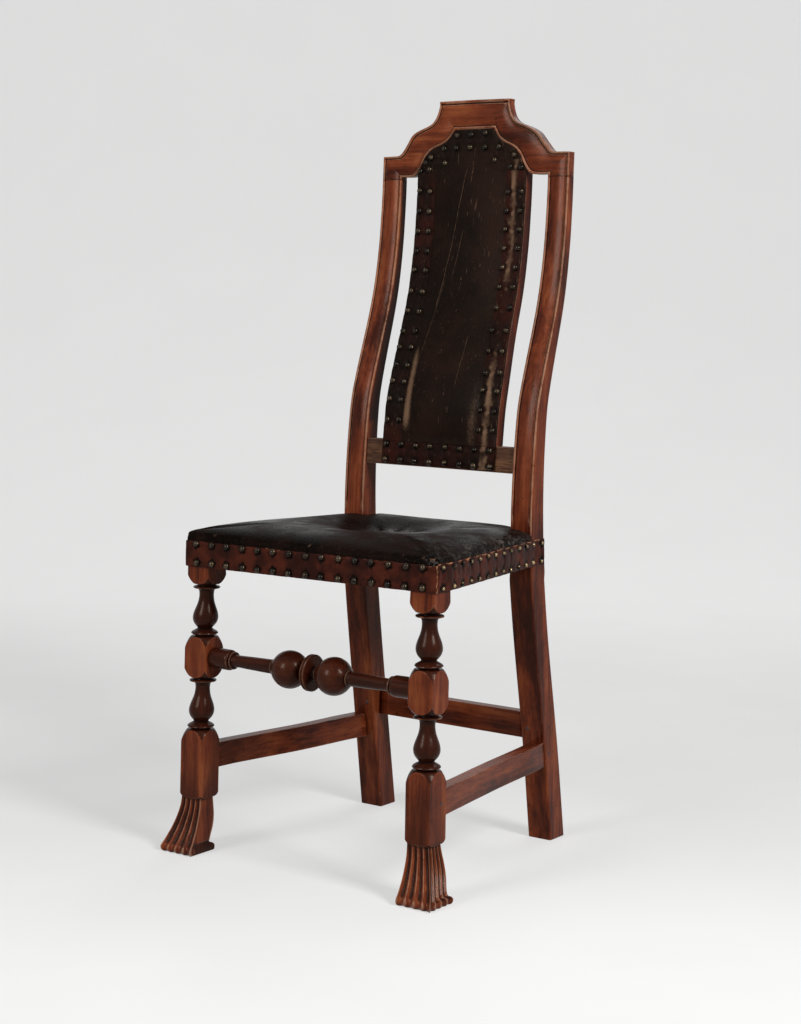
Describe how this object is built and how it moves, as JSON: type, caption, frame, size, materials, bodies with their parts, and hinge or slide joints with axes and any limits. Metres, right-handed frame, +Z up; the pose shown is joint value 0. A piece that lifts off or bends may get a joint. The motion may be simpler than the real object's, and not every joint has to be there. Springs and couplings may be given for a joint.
{
  "type": "leather-upholstered side chair",
  "caption": "Tall joined side chair with turned front legs and stretcher, carved feet, crooked back posts, an arched moulded crest, a nailed leather back panel and a stuffed leather seat.",
  "frame": {"origin": "middle of the chair's footprint box, on the floor", "axes": "+Z up, -Y towards the front of the chair, +X to the right of someone facing the chair"},
  "size_m": [0.485, 0.469, 1.168],
  "materials": {
    "stained_maple": "reddish-brown stain under a worn satin varnish",
    "oak": "plain oiled, open grain",
    "peg_wood": "dark stained, end grain outwards",
    "black_leather": "black-brown, polished by wear, scratched",
    "brown_leather": "reddish brown, creased at the nails",
    "linen": "coarse unbleached sackcloth",
    "webbing": "woven hemp girth web",
    "stuffing": "dry grass, matted",
    "brass": "domed nail heads, darkened, bright where rubbed"
  },
  "bodies": {
    "root": {"right_front_leg": "stained_maple", "left_front_leg": "stained_maple", "right_rear_post": "stained_maple", "left_rear_post": "stained_maple", "crest_rail": "stained_maple", "right_back_stile": "oak", "left_back_stile": "oak", "stay_rail": "oak", "front_stretcher": "stained_maple", "right_side_stretcher": "stained_maple", "left_side_stretcher": "stained_maple", "rear_stretcher": "stained_maple", "front_seat_rail": "oak", "rear_seat_rail": "oak", "right_side_seat_rail": "oak", "left_side_seat_rail": "oak", "right_side_stretcher_front_peg": "peg_wood", "left_side_stretcher_front_peg": "peg_wood", "right_side_stretcher_back_peg": "peg_wood", "left_side_stretcher_back_peg": "peg_wood", "right_rear_stretcher_peg": "peg_wood", "left_rear_stretcher_peg": "peg_wood", "right_stay_rail_peg": "peg_wood", "left_stay_rail_peg": "peg_wood", "right_crest_peg": "peg_wood", "left_crest_peg": "peg_wood", "web_front_to_back_1": "webbing", "web_front_to_back_2": "webbing", "web_front_to_back_3": "webbing", "web_side_to_side_1": "webbing", "web_side_to_side_2": "webbing", "web_side_to_side_3": "webbing", "seat_leather": "black_leather", "seat_stuffing": "stuffing", "seat_sackcloth": "linen", "front_seat_band": "brown_leather", "right_side_seat_band": "brown_leather", "left_side_seat_band": "brown_leather", "back_leather": "black_leather", "back_linen": "linen", "back_stuffing": "stuffing", "right_back_side_strip": "brown_leather", "left_back_side_strip": "brown_leather", "back_bottom_strip": "brown_leather", "back_top_strip": "brown_leather"}
  },
  "joints": []
}
